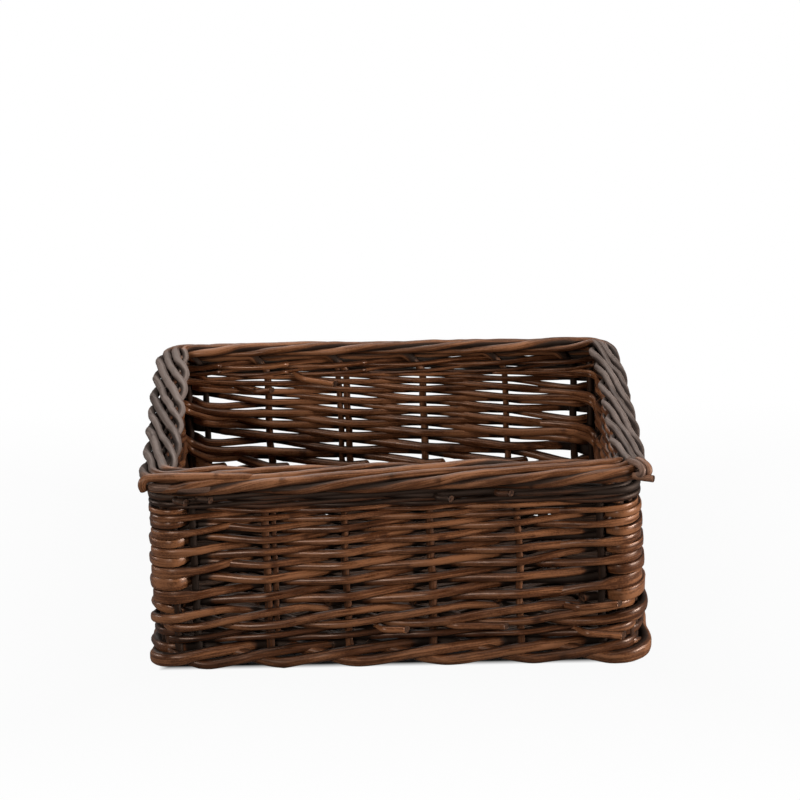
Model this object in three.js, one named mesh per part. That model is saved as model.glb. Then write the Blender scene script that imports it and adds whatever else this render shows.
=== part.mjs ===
// Square willow storage basket, millimetres, +Z up.
// Origin: on the ground under the middle of the basket. Front faces -Y, the long sides run along X.
//
// Every rod follows the wall's centre line, a rounded rectangle through all the stakes. A point on a rod is given
// by its station (how far along that line, counted in stake spaces), its offset from the line (+ is outwards) and
// its height. Seen from outside, the work runs to the right.
import * as THREE from "three";

// Overall sizes
const RIM_WIDTH = 340; // left to right over the rolled border
const RIM_DEPTH = 334; // front to back over the rolled border
const HEIGHT = 140; // ground to the top of the border
const CORNER_RADIUS = 16; // of the wall's centre line

// Stakes
const FRONT_STAKES = 6; // also the number at the back
const SIDE_STAKES = 7; // on each of the other two sides
const CORNER_INSET = 22.5; // from the corner of the centre line to the first stake of a side
const STAKE_DIAMETER = 4.8;
const STAKE_FOOT_HEIGHT = 1.5; // the lower end of a stake, above the ground

// Rolled border: the stakes turned down into one thick roll
const ROLL_WIDTH = 24.5; // across its flat section, which leans with its outer edge down
const ROLL_THICKNESS = 13;
const ROLL_LEAN = THREE.MathUtils.degToRad(20);
const BORDER_STRAND_DIAMETER = 5.5;
const SPACES_PER_STRAND_TURN = 6.6; // stake spaces in which a strand goes once round the roll
const SPACES_PER_STRAND = 5.5; // stake spaces that a strand covers before it is cut off inside

// Randing between the wales
const SPACES_PER_WEAVER = 16; // stake spaces that one weaver covers on its way up the wall
const COURSE_TAPER = 0.27; // share by which the lowest course is thicker, and the highest thinner, than their mean
const SPACES_PER_TAIL = 0.12; // how far each end of a weaver runs on past its last stake

// Upsett wale at the bottom of the wall
const UPSETT_ROD_DIAMETER = 5.8;
const UPSETT_LOW_HEIGHT = 30.5; // of a rod's centre line where it comes to the front
const UPSETT_RISE = 10; // from there to where it goes in again

// Foot wale that the basket stands on
const FOOT_ROD_DIAMETER = 7;
const FOOT_RISE = 9;

// Base
const BASE_STICKS = 5;
const BASE_STICK_DIAMETER = 8;
const BASE_ROWS = 30; // of weave, from the front to the back
const BASE_BAND_THICKNESS = 3; // of the thin rods that lie side by side in a row

// Room left between two rods that touch
const CLEARANCE = 0.35;

const WALE_STRANDS = 3;
const ROD_SIDES = 5;
const FOOT_ROD_SIDES = 6;
const STICK_SIDES = 10;
const CORNER_STEPS = 3;
const TURN_STEPS = 4; // round each turn of the base weave
const MIDWAY = 0.5; // of a stake space, where rods cross the wall's centre line
const NEAREST_STATIONS = 0.02; // stake spaces that two cross-sections of a rod are at least apart

// The roll's section is flat with two round edges. The middle of each edge is rollFlat from the roll's centre, and
// the leaning roll reaches this far from its centre, sideways and up.
const rollFlat = (ROLL_WIDTH - ROLL_THICKNESS) / 2;
const rollReach = rollFlat * Math.cos(ROLL_LEAN) + ROLL_THICKNESS / 2;
const rollRise = rollFlat * Math.sin(ROLL_LEAN) + ROLL_THICKNESS / 2;
const rollCentre = HEIGHT - rollRise;

// The wall's centre line
const halfWidth = RIM_WIDTH / 2 - rollReach;
const halfDepth = RIM_DEPTH / 2 - rollReach;
const arcLength = (CORNER_RADIUS * Math.PI) / 2;
// The four sides in order of work, each with its middle, direction, half length, stakes and first stake's station
const sides = [
  { middle: [0, -halfDepth], along: [1, 0], half: halfWidth, stakes: FRONT_STAKES },
  { middle: [halfWidth, 0], along: [0, 1], half: halfDepth, stakes: SIDE_STAKES },
  { middle: [0, halfDepth], along: [-1, 0], half: halfWidth, stakes: FRONT_STAKES },
  { middle: [-halfWidth, 0], along: [0, -1], half: halfDepth, stakes: SIDE_STAKES },
];
let stakeCount = 0;
for (const side of sides) {
  side.first = stakeCount;
  stakeCount += side.stakes;
}

// A point on the centre line, dist millimetres past a side's middle, with the outward direction there.
// Past the side's end it follows the corner's arc and then the next side.
function onSide(side, dist) {
  const { middle, along, half } = sides[side];
  const outward = [along[1], -along[0]];
  const straight = half - CORNER_RADIUS;
  if (dist <= straight) {
    return {
      point: [middle[0] + along[0] * dist, middle[1] + along[1] * dist],
      outward,
    };
  }
  const past = dist - straight;
  if (past > arcLength) {
    const next = (side + 1) % sides.length;
    return onSide(next, past - arcLength - (sides[next].half - CORNER_RADIUS));
  }
  const angle = past / CORNER_RADIUS;
  const centre = [0, 1].map((i) => middle[i] + along[i] * straight - outward[i] * CORNER_RADIUS);
  const turned = [0, 1].map((i) => outward[i] * Math.cos(angle) + along[i] * Math.sin(angle));
  return {
    point: [0, 1].map((i) => centre[i] + turned[i] * CORNER_RADIUS),
    outward: turned,
  };
}

// The distance past a side's middle of a station counted from that side's first stake.
function distanceOn(side, fromFirst) {
  const { half, stakes } = sides[side];
  const lastStake = stakes - 1;
  const pitch = (2 * (half - CORNER_INSET)) / lastStake;
  if (fromFirst <= lastStake) return -half + CORNER_INSET + pitch * fromFirst;
  return half - CORNER_INSET + (fromFirst - lastStake) * cornerSpace;
}
const cornerSpace = 2 * (CORNER_INSET - CORNER_RADIUS) + arcLength;

const wrapped = (station) => THREE.MathUtils.euclideanModulo(station, stakeCount);

// The point at a station, offset outwards from the centre line, at a height.
function at(station, offset, height) {
  const round = wrapped(station);
  const side = sides.findLastIndex(({ first }) => first <= round);
  const { point, outward } = onSide(side, distanceOn(side, round - sides[side].first));
  return new THREE.Vector3(point[0] + outward[0] * offset, point[1] + outward[1] * offset, height);
}

// The outward direction at a station, which is also the first axis of a rod's cross-section there.
function outwardAt(station) {
  return at(station, 1, 0).sub(at(station, 0, 0));
}

// Stations between two, each given as a fraction of a stake space where a rod needs a cross-section on a straight
// side, with the steps round each corner added.
function stationsBetween(from, to, fractions) {
  const list = [from, to];
  const arcStart = (CORNER_INSET - CORNER_RADIUS) / cornerSpace;
  for (let space = Math.floor(from); space <= Math.ceil(to); space++) {
    for (const fraction of fractions) list.push(space + fraction);
    const lastOfSide = sides.some(({ first, stakes }) => wrapped(space) === first + stakes - 1);
    if (!lastOfSide) continue;
    for (let step = 0; step <= CORNER_STEPS; step++) {
      list.push(space + arcStart + (step / CORNER_STEPS) * (1 - 2 * arcStart));
    }
  }
  const inside = list.filter((s) => s >= from && s <= to).sort((a, b) => a - b);
  return inside.filter((s, i) => i === 0 || s - inside[i - 1] > NEAREST_STATIONS);
}

// The corners of a round rod's section of radius 1, as shares outwards and across
function roundSection(sideCount) {
  return Array.from({ length: sideCount }, (_, k) => {
    const angle = (2 * Math.PI * k) / sideCount;
    return [Math.cos(angle), Math.sin(angle)];
  });
}

// A rod as one closed solid: a ring of points in the plane across the rod at each place, joined to the next ring.
// Each place has the point, the section's size there and the outward direction that the section starts from.
// A closed rod joins its last ring to its first, and a level one keeps its cross-sections upright as it rises.
function rodGeometry(places, { section = roundSection(ROD_SIDES), closed = false, level = false }) {
  const positions = [];
  const last = places.length - 1;
  const sideCount = section.length;
  places.forEach((place, i) => {
    const before = places[i === 0 ? (closed ? last : 0) : i - 1].point;
    const after = places[i === last ? (closed ? 0 : last) : i + 1].point;
    const along = new THREE.Vector3().subVectors(after, before);
    if (level) along.z = 0;
    along.normalize();
    const across = place.outward.clone().addScaledVector(along, -place.outward.dot(along)).normalize();
    const up = new THREE.Vector3().crossVectors(across, along).normalize();
    for (const [outwards, upwards] of section) {
      const corner = place.point.clone();
      corner.addScaledVector(across, place.radius * outwards);
      corner.addScaledVector(up, place.radius * upwards);
      positions.push(corner.x, corner.y, corner.z);
    }
  });
  const index = [];
  const rings = closed ? places.length : last;
  for (let i = 0; i < rings; i++) {
    const next = (i + 1) % places.length;
    for (let k = 0; k < sideCount; k++) {
      const side = (k + 1) % sideCount;
      const [a, b] = [i * sideCount + k, i * sideCount + side];
      const [c, d] = [next * sideCount + k, next * sideCount + side];
      index.push(a, c, b, b, c, d);
    }
  }
  if (!closed) {
    for (let k = 1; k < sideCount - 1; k++) {
      index.push(0, k, k + 1);
      const base = last * sideCount;
      index.push(base, base + k + 1, base + k);
    }
  }
  const geometry = new THREE.BufferGeometry();
  geometry.setAttribute("position", new THREE.Float32BufferAttribute(positions, 3));
  geometry.setIndex(index);
  geometry.computeVertexNormals();
  return geometry;
}

// Materials: dark stained willow, satin, a little lighter or darker from one kind of rod to the next
function willow(colour, roughness) {
  return new THREE.MeshStandardMaterial({ color: colour, roughness, metalness: 0 });
}
const stakeWillow = willow(0x5e3f31, 0.5);
const weaverWillow = willow(0x6b432d, 0.45);
const waleWillow = willow(0x643c28, 0.45);
const footWillow = willow(0x55311f, 0.5);
const baseWillow = willow(0x523c30, 0.6);

const basket = new THREE.Group();

function addPiece(name, geometry, material) {
  const mesh = new THREE.Mesh(geometry, material);
  mesh.name = name;
  basket.add(mesh);
}

const twoDigits = (n) => String(n).padStart(2, "0");

// Rolled border. The strands' centres follow the roll's section evenly, from under its middle (where the stake comes
// up) outwards, over the top and down the inside.
const strandRadius = BORDER_STRAND_DIAMETER / 2;
const edgeRadius = ROLL_THICKNESS / 2 - strandRadius;
const quarterTurn = Math.PI / 2;
const strandOutline = new THREE.Path()
  .moveTo(0, -edgeRadius)
  .lineTo(rollFlat, -edgeRadius)
  .absarc(rollFlat, 0, edgeRadius, -quarterTurn, quarterTurn)
  .lineTo(-rollFlat, edgeRadius)
  .absarc(-rollFlat, 0, edgeRadius, quarterTurn, 3 * quarterTurn)
  .lineTo(0, -edgeRadius);
const rollMiddle = new THREE.Vector2();

function strandPlace(station, spacesAlong) {
  const onOutline = strandOutline.getPoint(spacesAlong / SPACES_PER_STRAND_TURN);
  const { x, y } = onOutline.rotateAround(rollMiddle, -ROLL_LEAN);
  return { point: at(station, x, rollCentre + y), radius: strandRadius, outward: outwardAt(station) };
}

function stakeGeometry(stake) {
  const radius = STAKE_DIAMETER / 2;
  const outward = outwardAt(stake);
  const knee = BORDER_STRAND_DIAMETER / cornerSpace; // stake spaces taken by the bend into the roll
  const bottomOfRoll = strandPlace(stake, 0).point.z;
  const upright = [
    { point: at(stake, 0, STAKE_FOOT_HEIGHT), radius, outward },
    { point: at(stake, 0, bottomOfRoll - BORDER_STRAND_DIAMETER), radius, outward },
    { point: at(stake + knee / 2, 0, bottomOfRoll - strandRadius / 2), radius, outward },
  ];
  const rolledStations = stationsBetween(stake + 1.5 * knee, stake + SPACES_PER_STRAND, [0, MIDWAY]);
  const rolled = rolledStations.map((station) => strandPlace(station, station - stake));
  return rodGeometry([...upright, ...rolled], {});
}

for (let stake = 0; stake < stakeCount; stake++) {
  addPiece(`stake_and_border_strand_${twoDigits(stake + 1)}`, stakeGeometry(stake), stakeWillow);
}

// French randing. A weaver is behind its first stake, in front of the next, and so on. It climbs by one course from
// stake to stake, from the upsett wale to the underside of the roll, and its courses get thinner towards its tip, so
// its radius follows from them.
const randingStart = UPSETT_LOW_HEIGHT + UPSETT_RISE + UPSETT_ROD_DIAMETER / 2 + CLEARANCE;
const randingEnd = rollCentre - rollRise - CLEARANCE;
const meanCourse = (randingEnd - randingStart) / (SPACES_PER_WEAVER + SPACES_PER_TAIL);
const lowestCourse = meanCourse * (1 + COURSE_TAPER);
const highestCourse = meanCourse * (1 - COURSE_TAPER);

function courseAt(spacesAlong) {
  return THREE.MathUtils.lerp(lowestCourse, highestCourse, spacesAlong / SPACES_PER_WEAVER);
}

function weaverPlace(station, spacesAlong) {
  const radius = (courseAt(spacesAlong) - CLEARANCE) / 2;
  const swing = STAKE_DIAMETER / 2 + radius + CLEARANCE;
  // A straight line from behind one stake to in front of the next
  const phase = THREE.MathUtils.euclideanModulo(spacesAlong, 2);
  const offset = swing * (phase <= 1 ? 2 * phase - 1 : 3 - 2 * phase);
  const height = randingStart + ((lowestCourse + courseAt(spacesAlong)) / 2) * spacesAlong;
  return { point: at(station, offset, height), radius, outward: outwardAt(station) };
}

function weaverGeometry(stake) {
  const stations = stationsBetween(stake - SPACES_PER_TAIL, stake + SPACES_PER_WEAVER + SPACES_PER_TAIL, [0]);
  return rodGeometry(stations.map((station) => weaverPlace(station, station - stake)), {});
}

for (let stake = 0; stake < stakeCount; stake++) {
  addPiece(`randing_weaver_${twoDigits(stake + 1)}`, weaverGeometry(stake), weaverWillow);
}

// A wale of three strands, each in front of two stakes and behind the third. A strand comes to the front low down,
// rises past two stakes, goes in over the next strand and drops behind the third stake. Where the number of stakes
// isn't a multiple of three, the strands run into each other and the wale is one rod that goes round three times.
function walePlace(station, spacesAlong, { diameter, lowHeight, rise }) {
  const swing = (STAKE_DIAMETER + diameter) / 2 + CLEARANCE;
  const p = THREE.MathUtils.euclideanModulo(spacesAlong, WALE_STRANDS);
  // Offset and height at the turning points of one repeat, joined by straight lines
  const turns = [
    [0, 0, 0],
    [MIDWAY, swing, 0],
    [1 + MIDWAY, swing, rise],
    [2, 0, rise],
    [2 + MIDWAY, -swing, rise / 2],
    [WALE_STRANDS, 0, 0],
  ];
  const i = turns.findIndex(([end]) => p <= end);
  const [from, to] = [turns[Math.max(i - 1, 0)], turns[i]];
  const share = i === 0 ? 1 : (p - from[0]) / (to[0] - from[0]);
  const offset = THREE.MathUtils.lerp(from[1], to[1], share);
  const height = lowHeight + THREE.MathUtils.lerp(from[2], to[2], share);
  return { point: at(station, offset, height), radius: diameter / 2, outward: outwardAt(station) };
}

const waleRods = stakeCount % WALE_STRANDS === 0 ? WALE_STRANDS : 1;
const waleRounds = WALE_STRANDS / waleRods;

function addWale(name, wale, material) {
  for (let rod = 0; rod < waleRods; rod++) {
    const stations = stationsBetween(0, waleRounds * stakeCount, [0, MIDWAY]).slice(0, -1);
    const places = stations.map((station) => walePlace(station, station + MIDWAY - rod, wale));
    const section = roundSection(wale.sideCount);
    const geometry = rodGeometry(places, { section, closed: true, level: true });
    addPiece(waleRods === 1 ? name : `${name}_${rod + 1}`, geometry, material);
  }
}

// The foot's rods have a flat underside: it lies on the ground wherever a rod is at its lowest.
const footLowHeight = (FOOT_ROD_DIAMETER / 2) * Math.cos(Math.PI / FOOT_ROD_SIDES);
const upsett = {
  diameter: UPSETT_ROD_DIAMETER,
  lowHeight: UPSETT_LOW_HEIGHT,
  rise: UPSETT_RISE,
  sideCount: ROD_SIDES,
};
const foot = {
  diameter: FOOT_ROD_DIAMETER,
  lowHeight: footLowHeight,
  rise: FOOT_RISE,
  sideCount: FOOT_ROD_SIDES,
};
addWale("upsett_wale", upsett, waleWillow);
addWale("foot_wale", foot, footWillow);

// Base. The sticks lie on the foot wale, with their ends in the wall between two stakes.
const stickRadius = BASE_STICK_DIAMETER / 2;
const footTop = footLowHeight + FOOT_RISE + FOOT_ROD_DIAMETER / 2;
const stickHeight = footTop + CLEARANCE + stickRadius;
const stickPitch = (2 * (halfWidth - CORNER_INSET)) / (FRONT_STAKES - 1);
const stickPlaces = Array.from({ length: BASE_STICKS }, (_, i) => (i - (BASE_STICKS - 1) / 2) * stickPitch);

stickPlaces.forEach((x, i) => {
  const stick = new THREE.CylinderGeometry(stickRadius, stickRadius, 2 * halfDepth, STICK_SIDES);
  const mesh = new THREE.Mesh(stick, baseWillow);
  mesh.name = `base_stick_${i + 1}`;
  mesh.position.set(x, 0, stickHeight);
  basket.add(mesh);
});

// The base weave is one flat band, of a few thin rods side by side. It goes over and under the sticks in turn, row by
// row from the front to the back, and turns back at each side, just inside the side walls' stakes.
const weaveHalfWidth = halfWidth - STAKE_DIAMETER / 2 - CLEARANCE;
const weaveHalfDepth = halfDepth - (STAKE_DIAMETER + FOOT_ROD_DIAMETER) / 2 - CLEARANCE;
const rowPitch = (2 * weaveHalfDepth) / BASE_ROWS;
const bandWidth = rowPitch - CLEARANCE;
const turnRadius = rowPitch / 2;
const turnMiddle = weaveHalfWidth - bandWidth / 2 - turnRadius; // from the middle of the base, sideways
const bandRise = stickRadius + CLEARANCE + BASE_BAND_THICKNESS / 2; // from the sticks' middle to the band's

function baseWeaveGeometry() {
  const upward = new THREE.Vector3(0, 0, 1);
  const section = [
    [1, -1],
    [1, 1],
    [-1, 1],
    [-1, -1],
  ].map(([up, across]) => [(up * BASE_BAND_THICKNESS) / 2, (across * bandWidth) / 2]);
  const places = [];
  function addPlace(x, y, aboveSticks) {
    places.push({ point: new THREE.Vector3(x, y, stickHeight + aboveSticks), radius: 1, outward: upward });
  }
  for (let row = 0; row < BASE_ROWS; row++) {
    const way = row % 2 === 0 ? 1 : -1; // to the right, then back to the left
    const y = -weaveHalfDepth + turnRadius + row * rowPitch;
    const crossings = stickPlaces.map((x, stick) => ({ x, side: (stick + row) % 2 === 0 ? 1 : -1 }));
    if (way < 0) crossings.reverse();
    addPlace(-way * turnMiddle, y, 0);
    for (const { x, side } of crossings) {
      addPlace(x - (way * stickRadius) / 2, y, side * bandRise);
      addPlace(x + (way * stickRadius) / 2, y, side * bandRise);
    }
    addPlace(way * turnMiddle, y, 0);
    if (row === BASE_ROWS - 1) break;
    for (let step = 1; step < TURN_STEPS; step++) {
      const angle = (step / TURN_STEPS) * Math.PI;
      addPlace(way * (turnMiddle + turnRadius * Math.sin(angle)), y + turnRadius * (1 - Math.cos(angle)), 0);
    }
  }
  return rodGeometry(places, { section, level: true });
}
addPiece("base_weave", baseWeaveGeometry(), baseWillow);

export default basket;
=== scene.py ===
"""Square willow storage basket: every rod of the CAD frame is made again as a grown, tapering willow rod.

Metres, +Z up, the front faces -Y. A point on a rod is given by its station (how far round the wall, counted
in stake spaces from the front's left stake, with the work running to the right), its offset outwards from
the wall's centre line, and its height.
"""
import math

import bmesh
import bpy
import numpy as np
from mathutils import Matrix


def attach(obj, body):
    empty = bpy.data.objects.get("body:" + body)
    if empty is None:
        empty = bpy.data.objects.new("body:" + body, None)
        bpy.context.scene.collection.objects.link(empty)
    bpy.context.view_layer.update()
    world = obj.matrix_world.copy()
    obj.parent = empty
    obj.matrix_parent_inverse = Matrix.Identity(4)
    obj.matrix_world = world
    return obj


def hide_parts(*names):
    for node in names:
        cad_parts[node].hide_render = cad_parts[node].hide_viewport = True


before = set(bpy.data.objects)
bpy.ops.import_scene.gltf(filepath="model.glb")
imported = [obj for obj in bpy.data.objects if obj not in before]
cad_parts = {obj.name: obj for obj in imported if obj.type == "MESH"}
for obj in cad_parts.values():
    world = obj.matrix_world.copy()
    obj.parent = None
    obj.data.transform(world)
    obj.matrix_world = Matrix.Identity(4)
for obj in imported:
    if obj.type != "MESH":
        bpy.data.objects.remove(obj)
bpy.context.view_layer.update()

MM = 0.001

# Overall sizes, as in the CAD
RIM_WIDTH = 340 * MM
RIM_DEPTH = 334 * MM
RIM_HEIGHT = 140 * MM
CORNER_RADIUS = 12 * MM  # the rods' own bend, tighter than the CAD's 16 mm
CORNER_INSET = 22.5 * MM  # from the wall's corner to the stakes beside it
SIDE_STAKES = (6, 7, 6, 7)  # front, right, back, left
STAKES = sum(SIDE_STAKES)
LAST_STAKES = np.cumsum(SIDE_STAKES) - 1  # of each side
STAKE_RADIUS = 2.6 * MM

# The rolled border's section is a flat oval, with its outer edge lower
ROLL_WIDTH = 24.5 * MM
ROLL_THICKNESS = 13 * MM
ROLL_LEAN = math.radians(20)
ROLL_FLAT = (ROLL_WIDTH - ROLL_THICKNESS) / 2
ROLL_REACH = ROLL_FLAT * math.cos(ROLL_LEAN) + ROLL_THICKNESS / 2
ROLL_CENTRE = RIM_HEIGHT - ROLL_FLAT * math.sin(ROLL_LEAN) - ROLL_THICKNESS / 2

# To the wall's centre line, which the roll's middle is over
HALF_WIDTH = RIM_WIDTH / 2 - ROLL_REACH
HALF_DEPTH = RIM_DEPTH / 2 - ROLL_REACH

# Stakes pushed along the wall by the weaver's hand, in mm in the direction of work
STAKE_SHIFTS = {1: -6, 2: -7.7, 3: -5, 4: -0.7, 8: 1.5, 10: -1,
                14: -4.4, 15: 2.5, 16: 4, 17: 8, 20: 1.2, 23: -1.5}

LEAN_RIGHT = 0.0244  # the wall leans, so the foot stands this much further right per metre of height
TRUE_HEIGHT = 130 * MM  # the height at which it stands in its true place

# Slow waves of handwork: how many go round the wall, how high in mm, their start, and their turn with height
BULGES = ((5, 0.5, 1.1, 0), (9, 0.4, 2.3, 0), (14, 0.3, 0, 60))
SETTLING = ((4, 0.6, 0, 25), (7, 0.5, 1.7, 0), (13, 0.4, 0, 70))
SETTLING_FROM, SETTLING_TO, SETTLING_EASE = 30 * MM, 122 * MM, 20 * MM

STATION_STEP = 0.02  # between a path's points, in stake spaces
CURVE_POINTS = 17  # in a corner of the wall, or an edge of the roll

rng = np.random.default_rng(26)


# The wall's centre line

def wall_outline():
    """Distance, x, y and outward angle, at close steps round the wall from the start of its front."""
    rows = []
    x, y, distance = -(HALF_WIDTH - CORNER_RADIUS), -HALF_DEPTH, 0.0
    for side in range(4):
        half = HALF_DEPTH if side % 2 else HALF_WIDTH
        heading = side * math.pi / 2
        outward = heading - math.pi / 2
        rows.append((distance, x, y, outward))
        straight = 2 * (half - CORNER_RADIUS)
        x += straight * math.cos(heading)
        y += straight * math.sin(heading)
        distance += straight
        centre_x = x - CORNER_RADIUS * math.cos(outward)
        centre_y = y - CORNER_RADIUS * math.sin(outward)
        for share in np.linspace(0, 1, CURVE_POINTS):
            angle = outward + share * math.pi / 2
            x = centre_x + CORNER_RADIUS * math.cos(angle)
            y = centre_y + CORNER_RADIUS * math.sin(angle)
            rows.append((distance + share * CORNER_RADIUS * math.pi / 2, x, y, angle))
        distance += CORNER_RADIUS * math.pi / 2
    return np.array(rows).T


def stake_distances():
    """Distance round the wall of each stake, and of the first one again after a full round."""
    found = []
    start = -CORNER_RADIUS
    for side, stakes in enumerate(SIDE_STAKES):
        half = HALF_DEPTH if side % 2 else HALF_WIDTH
        pitch = 2 * (half - CORNER_INSET) / (stakes - 1)
        for i in range(stakes):
            shift = STAKE_SHIFTS.get(len(found), 0) * MM
            found.append(start + CORNER_INSET + i * pitch + shift)
        start += 2 * (half - CORNER_RADIUS) + CORNER_RADIUS * math.pi / 2
    return np.array(found + [found[0] + start + CORNER_RADIUS])


OUTLINE = wall_outline()
STAKE_DISTANCES = stake_distances()
PERIMETER = OUTLINE[0][-1]


def waves(turned, height, table):
    """The height of a table's waves, at an angle round the wall."""
    return MM * sum(high * np.sin(count * turned + start + turn * height)
                    for count, high, start, turn in table)


def settled(station, height):
    """How far the courses of the wall have been beaten down or left high."""
    above = np.clip((height - SETTLING_FROM) / SETTLING_EASE, 0, 1)
    below = np.clip((SETTLING_TO - height) / SETTLING_EASE, 0, 1)
    return waves(2 * math.pi * station / STAKES, height, SETTLING) * above * below


def lean_of(height):
    """How far right the leaning wall stands."""
    return LEAN_RIGHT * (TRUE_HEIGHT - height)


def place(station, offset, height):
    """Points at stations, and the outward direction there."""
    station, offset, height = np.broadcast_arrays(*(np.asarray(a, float) for a in (station, offset, height)))
    distance = np.interp(np.mod(station, STAKES), np.arange(STAKES + 1), STAKE_DISTANCES)
    distance = np.mod(distance, PERIMETER)
    x, y, angle = (np.interp(distance, OUTLINE[0], row) for row in OUTLINE[1:])
    outward = np.stack([np.cos(angle), np.sin(angle), np.zeros_like(angle)], axis=-1)
    offset = offset + waves(2 * math.pi * distance / PERIMETER, height, BULGES)
    points = np.stack([x, y, height], axis=-1) + outward * offset[..., None]
    points[..., 0] += lean_of(height)
    return points, outward


# Curves

def smooth_through(x, knots, period=None):
    """A smooth curve through the knots, which are pairs of place and value."""
    xs, ys = np.array(knots, float).T
    if period:
        x = np.mod(x - xs[0], period) + xs[0]
        xs = np.concatenate([xs - period, xs, xs + period])
        ys = np.tile(ys, 3)
    slopes = np.gradient(ys, xs)
    i = np.clip(np.searchsorted(xs, x, side="right") - 1, 0, len(xs) - 2)
    step = xs[i + 1] - xs[i]
    t = np.clip((x - xs[i]) / step, 0, 1)
    rise = 3 * t**2 - 2 * t**3
    ease_in, ease_out = t**3 - 2 * t**2 + t, t**3 - t**2
    return ys[i] * (1 - rise) + ys[i + 1] * rise + step * (ease_in * slopes[i] + ease_out * slopes[i + 1])


def along_table(x, table):
    """A value between those of a table of pairs of place and value."""
    return np.interp(x, *zip(*table))


def ripple(along, wavelength):
    """A seeded, slow wave along a rod, about -1 to 1."""
    total = np.zeros_like(along)
    for share in (1, 0.57, 0.31):
        total += share**0.5 * np.sin(2 * math.pi * along / (wavelength * share) + rng.uniform(0, 2 * math.pi))
    return total / 1.6


def soften(points, reach=5):
    """Rounds the path's corners, by taking the mean of the points within reach steps."""
    kernel = np.ones(2 * reach + 1) / (2 * reach + 1)
    padded = np.concatenate([np.repeat(points[:1], reach, 0), points, np.repeat(points[-1:], reach, 0)])
    return np.stack([np.convolve(padded[:, i], kernel, "valid") for i in range(points.shape[1])], axis=1)


def lengths_along(points):
    return np.concatenate([[0], np.cumsum(np.linalg.norm(np.diff(points, axis=0), axis=1))])


def eased(t):
    t = np.clip(t, 0, 1)
    return t * t * (3 - 2 * t)


# Rods

KNOT_SPACING = 85 * MM
KNOT_SHIFT = 20 * MM
KNOT_LENGTH = 1.8 * MM
KNOT_WIDTH = 0.25
KNOT_SWELLING = 0.1
KNOT_TURN = 2.4  # from one bud to the next round the rod, in radians
UNEVEN_THICKNESS = 0.04
THICKNESS_WAVE = 0.05
OUT_WAVE, UP_WAVE = 0.05, 0.07  # lengths of the waves in which a rod is crooked
TONE_WAVE = 0.16
TONE_CHANGE = 0.16  # along a rod
TONE_RANGE = 0.2  # from rod to rod
SQUARENESS = 0.62
# Where round the rod the painted groove shade begins, how soon it is full, and its share of painted shade on
# the underside
GROOVE_START, GROOVE_EASE, UNDERSIDE_GROOVE = 0.35, 0.9, 0.15


def straight_rod(rings, sides):
    """A straight closed rod, one unit long and in radius, with its two cut ends in the second material."""
    shape = bmesh.new()
    bmesh.ops.create_cone(shape, cap_ends=True, segments=sides, radius1=1, radius2=1, depth=1)
    lengthways = [e for e in shape.edges if abs(e.verts[0].co.z - e.verts[1].co.z) > 0.5]
    bmesh.ops.subdivide_edges(shape, edges=lengthways, cuts=rings - 2, use_grid_fill=True)
    shape.normal_update()
    for face in shape.faces:
        cut = abs(face.normal.z) > 0.9
        face.material_index = 1 if cut else 0
        face.smooth = not cut
    mesh = bpy.data.meshes.new("rod")
    shape.to_mesh(mesh)
    shape.free()
    return mesh


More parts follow.
